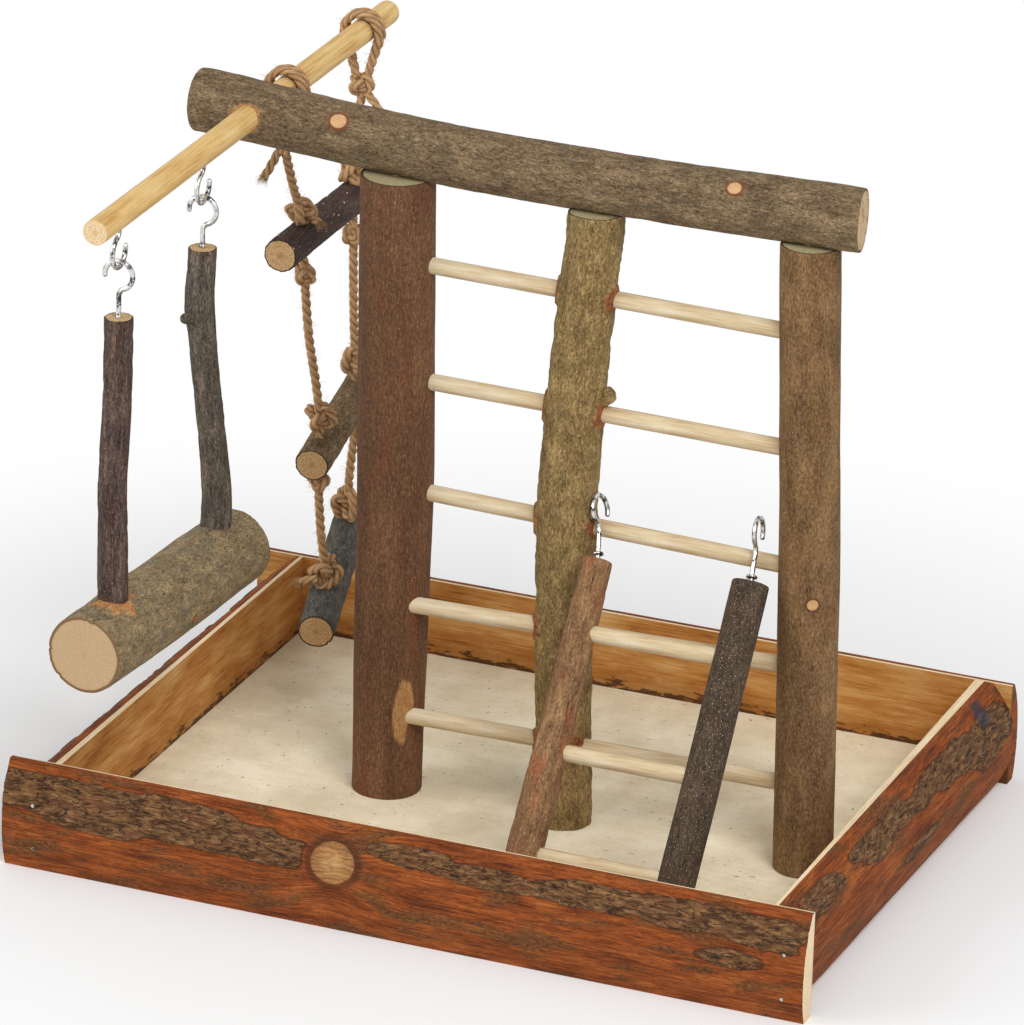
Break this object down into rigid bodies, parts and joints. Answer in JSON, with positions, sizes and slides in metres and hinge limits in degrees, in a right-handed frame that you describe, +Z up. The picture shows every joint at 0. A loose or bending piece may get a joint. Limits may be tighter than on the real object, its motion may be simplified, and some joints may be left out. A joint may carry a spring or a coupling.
{
  "type": "parrot play stand",
  "caption": "Natural-wood bird play stand: a bark-edged tray with branch posts and ladder rungs under a top log, a swing, a rope ladder and a small leaning ladder.",
  "frame": {"origin": "centre of the tray's underside, on the surface the stand rests on", "axes": "+X along the ladder frame towards the right-hand post, +Y from the front board to the back board, +Z up"},
  "size_m": [0.4021, 0.3501, 0.3579],
  "materials": {
    "split_log_bark": "rough bark outside, smooth golden inner face",
    "floor_plank": "sawn, unfinished",
    "red_brown_branch": "smooth bark",
    "olive_branch": "rough lichened bark",
    "grey_brown_branch": "rough bark",
    "log_bark": "pitted bark",
    "dowel_wood": "smooth, unfinished",
    "dark_branch": "fibrous bark",
    "grey_green_bark": "mottled bark",
    "zinc_wire": "bright zinc",
    "jute_rope": "twisted, hairy"
  },
  "bodies": {
    "stand": {"floor_panel": "floor_plank", "front_board": "split_log_bark", "back_board": "split_log_bark", "left_board": "split_log_bark", "right_board": "split_log_bark", "corner_nails": "zinc_wire", "post_screws": "zinc_wire", "left_post": "red_brown_branch", "middle_post": "olive_branch", "right_post": "grey_brown_branch", "ladder_rung_1": "dowel_wood", "ladder_rung_2": "dowel_wood", "ladder_rung_3": "dowel_wood", "ladder_rung_4": "dowel_wood", "ladder_rung_5": "dowel_wood", "top_log": "log_bark", "log_pins": "dowel_wood", "perch_dowel": "dowel_wood", "swing_upper_hook_front": "zinc_wire", "swing_upper_hook_back": "zinc_wire"},
    "swing": {"swing_lower_hook_front": "zinc_wire", "swing_lower_hook_back": "zinc_wire", "swing_stick_front": "dark_branch", "swing_stick_back": "grey_brown_branch", "swing_log": "grey_green_bark"},
    "rope_ladder_top": {"rope_loop_front": "jute_rope", "rope_loop_back": "jute_rope", "rope_top_front": "jute_rope", "rope_top_back": "jute_rope", "knots_top_rung": "jute_rope", "rope_rung_top": "dark_branch"},
    "rope_ladder_middle": {"rope_middle_front": "jute_rope", "rope_middle_back": "jute_rope", "rope_rung_middle": "grey_brown_branch", "knots_middle_rung": "jute_rope"},
    "rope_ladder_bottom": {"rope_bottom_front": "jute_rope", "rope_bottom_back": "jute_rope", "rope_rung_bottom": "grey_green_bark", "knots_bottom_rung": "jute_rope"},
    "leaning_ladder": {"ramp_stick_left": "red_brown_branch", "ramp_stick_right": "dark_branch", "ramp_rung_1": "dowel_wood", "ramp_rung_2": "dowel_wood", "ramp_rung_3": "dowel_wood", "ramp_hook_left": "zinc_wire", "ramp_hook_right": "zinc_wire"}
  },
  "joints": [
    {"name": "swing_hang", "type": "hinge", "parent": "stand", "child": "swing", "pos_m": [-0.13277, -0.1217, 0.3172], "axis": [-0.0204, 0.9998, 0], "range_deg": [-75, 75]},
    {"name": "rope_ladder_swing", "type": "hinge", "parent": "stand", "child": "rope_ladder_top", "pos_m": [-0.135, -0.0125, 0.342], "axis": [-0.0204, 0.9998, 0], "range_deg": [-45, 45]},
    {"name": "rope_ladder_upper_bend", "type": "hinge", "parent": "rope_ladder_top", "child": "rope_ladder_middle", "pos_m": [-0.13625, 0.04854, 0.23205], "axis": [-0.0204, 0.9998, -0.001], "range_deg": [-45, 45]},
    {"name": "rope_ladder_lower_bend", "type": "hinge", "parent": "rope_ladder_middle", "child": "rope_ladder_bottom", "pos_m": [-0.1322, 0.05964, 0.12199], "axis": [-0.131, 0.9857, 0.1063], "range_deg": [-45, 45]},
    {"name": "leaning_ladder_tip", "type": "hinge", "parent": "stand", "child": "leaning_ladder", "pos_m": [0, -0.1219, 0.0123], "axis": [1, 0, 0], "range_deg": [0, 35.5]}
  ]
}
